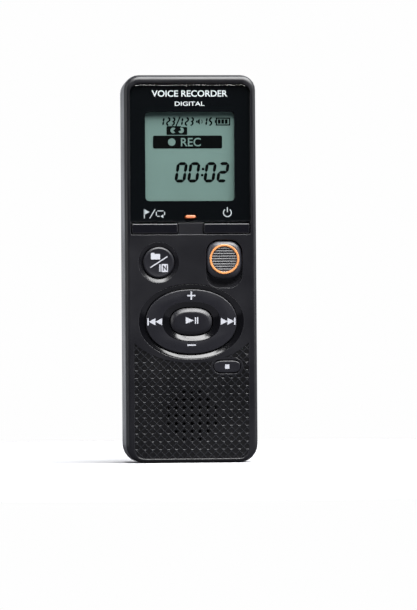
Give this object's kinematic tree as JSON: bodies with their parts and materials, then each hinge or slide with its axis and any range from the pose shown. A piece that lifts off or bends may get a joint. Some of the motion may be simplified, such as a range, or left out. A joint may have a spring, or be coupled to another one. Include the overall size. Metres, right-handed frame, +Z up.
{
  "type": "pocket voice recorder",
  "caption": "Pocket digital voice recorder with display window, press keys, tilting direction pad, record slide, speaker and a hinged battery door.",
  "frame": {"origin": "middle of the bottom end, on the plane that the recorder stands on", "axes": "+Z up the length of the case, -Y out of the display side, +X to the right of someone facing the display"},
  "size_m": [0.0368, 0.02, 0.1084],
  "materials": {
    "case_plastic": "fine satin",
    "key_plastic": "satin",
    "gloss_plastic": "polished",
    "window_acrylic": "polished",
    "display_glass": "polished",
    "orange_plastic": "polished",
    "silicone": "soft",
    "circuit_laminate": "solder mask",
    "black_moulding": "satin",
    "lamp_chip": "polished",
    "spring_steel": "stamped",
    "steel": "plain",
    "speaker_film": "film",
    "cell_wrap": "printed sleeve",
    "red_wire": "insulation",
    "black_wire": "insulation"
  },
  "bodies": {
    "case": {"front_cover": "case_plastic", "rear_cover": "case_plastic", "display_window": "window_acrylic", "display_panel": "display_glass", "display_holder": "key_plastic", "display_connector_strip": "silicone", "record_lamp_lens": "orange_plastic", "record_lamp_chip": "lamp_chip", "keypad_mat": "silicone", "dome_index": "spring_steel", "dome_power": "spring_steel", "dome_folder": "spring_steel", "dome_stop": "spring_steel", "dome_play": "spring_steel", "dome_plus": "spring_steel", "dome_minus": "spring_steel", "dome_back": "spring_steel", "dome_forward": "spring_steel", "circuit_board": "circuit_laminate", "main_processor": "black_moulding", "memory_chip": "black_moulding", "audio_amplifier": "black_moulding", "microphone_jack": "black_moulding", "earphone_jack": "black_moulding", "microphone_boot": "silicone", "microphone_capsule": "steel", "usb_socket": "steel", "usb_tongue": "black_moulding", "slide_switch": "steel", "speaker_gasket": "silicone", "speaker_frame": "steel", "speaker_magnet": "steel", "speaker_wire_red": "red_wire", "speaker_wire_black": "black_wire", "battery_left": "cell_wrap", "battery_right": "cell_wrap", "battery_link_contact": "spring_steel", "battery_plus_contact": "spring_steel", "battery_minus_contact": "spring_steel", "battery_spring_lower": "spring_steel", "battery_spring_upper": "spring_steel", "door_hinge_pin": "steel", "case_screw_1": "steel", "case_screw_2": "steel", "case_screw_3": "steel", "case_screw_4": "steel", "board_screw_1": "steel", "board_screw_2": "steel"},
    "index_key": {"index_button": "gloss_plastic"},
    "power_key": {"power_button": "gloss_plastic"},
    "folder_key": {"folder_button": "key_plastic"},
    "play_key": {"play_button": "key_plastic"},
    "stop_key": {"stop_button": "key_plastic"},
    "pad_rocker": {"pad_rocker_plate": "spring_steel"},
    "pad": {"direction_pad": "key_plastic"},
    "record_slider": {"record_slide": "key_plastic", "record_slide_ring": "orange_plastic", "slide_switch_lever": "black_moulding"},
    "door": {"battery_door": "case_plastic"},
    "cone": {"speaker_cone": "speaker_film"}
  },
  "joints": [
    {"name": "index_press", "type": "slide", "parent": "case", "child": "index_key", "axis": [0, 1, 0], "range_m": [0, 0.0003], "stiffness_N_per_m": 1000},
    {"name": "power_press", "type": "slide", "parent": "case", "child": "power_key", "axis": [0, 1, 0], "range_m": [0, 0.0003], "stiffness_N_per_m": 1000},
    {"name": "folder_press", "type": "slide", "parent": "case", "child": "folder_key", "axis": [0, 1, 0], "range_m": [0, 0.0003], "stiffness_N_per_m": 1000},
    {"name": "play_press", "type": "slide", "parent": "case", "child": "play_key", "axis": [0, 1, 0], "range_m": [0, 0.0003], "stiffness_N_per_m": 1000},
    {"name": "stop_press", "type": "slide", "parent": "case", "child": "stop_key", "axis": [0, 1, 0], "range_m": [0, 0.0003], "stiffness_N_per_m": 1000},
    {"name": "pad_tilt_up_down", "type": "hinge", "parent": "case", "child": "pad_rocker", "pos_m": [0, -0.0066, 0.0393], "axis": [1, 0, 0], "range_deg": [-1.6, 1.6], "stiffness_Nm_per_rad": 0.3},
    {"name": "pad_tilt_left_right", "type": "hinge", "parent": "pad_rocker", "child": "pad", "pos_m": [0, -0.0066, 0.0393], "axis": [0, 0, 1], "range_deg": [-1.2, 1.2], "stiffness_Nm_per_rad": 0.3},
    {"name": "record_slide_move", "type": "slide", "parent": "case", "child": "record_slider", "axis": [0, 0, 1], "range_m": [-0.0025, 0]},
    {"name": "battery_door_hinge", "type": "hinge", "parent": "case", "child": "door", "pos_m": [0, 0.0085, 0.0566], "axis": [1, 0, 0], "range_deg": [0, 95]},
    {"name": "speaker_cone_move", "type": "slide", "parent": "case", "child": "cone", "axis": [0, 1, 0], "range_m": [-0.00025, 0.00025], "stiffness_N_per_m": 1000}
  ]
}
